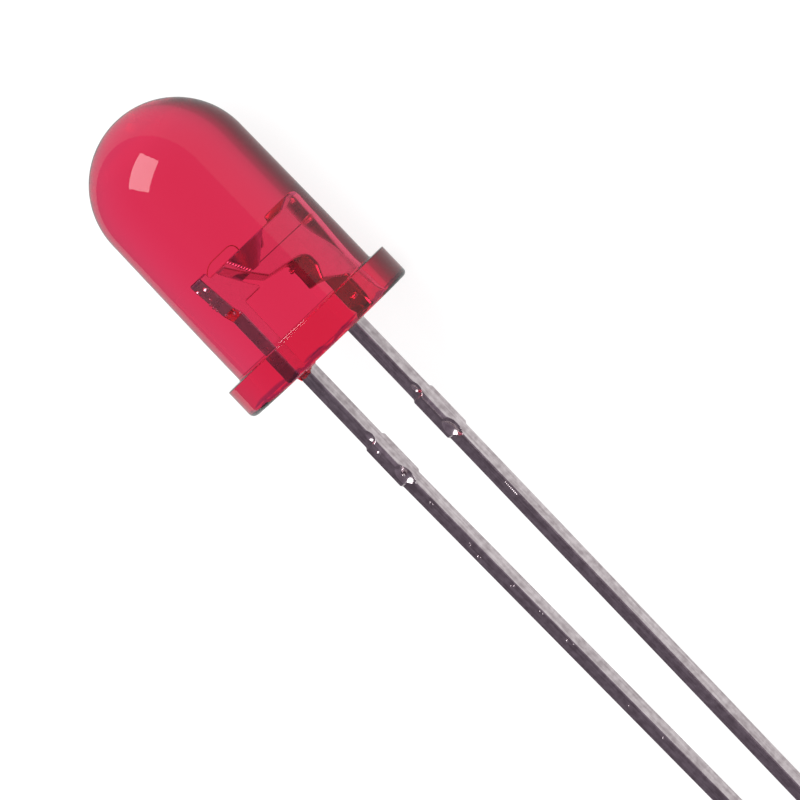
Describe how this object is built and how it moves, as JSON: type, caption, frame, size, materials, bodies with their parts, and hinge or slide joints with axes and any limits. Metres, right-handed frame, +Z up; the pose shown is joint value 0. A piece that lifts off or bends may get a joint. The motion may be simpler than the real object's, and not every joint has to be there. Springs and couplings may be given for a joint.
{
  "type": "through hole led",
  "caption": "Round flanged through-hole LED in clear red epoxy with long and short stamped leads, lying on its flat and lead tip.",
  "frame": {"origin": "centre of the box round the LED, on the table it lies on", "axes": "+X along the LED towards the dome, which lies 2.4 degrees higher than the leads; +Z up, away from the cathode flat"},
  "size_m": [0.0364, 0.0058, 0.0055],
  "materials": {
    "red_epoxy": "gloss",
    "tinned_steel": "satin",
    "die": "gloss",
    "silver_glue": "matte",
    "gold_wire": "gloss"
  },
  "bodies": {
    "root": {"epoxy_case": "red_epoxy", "cathode_lead": "tinned_steel", "anode_lead": "tinned_steel", "led_die": "die", "die_glue": "silver_glue", "bond_wire": "gold_wire"}
  },
  "joints": []
}
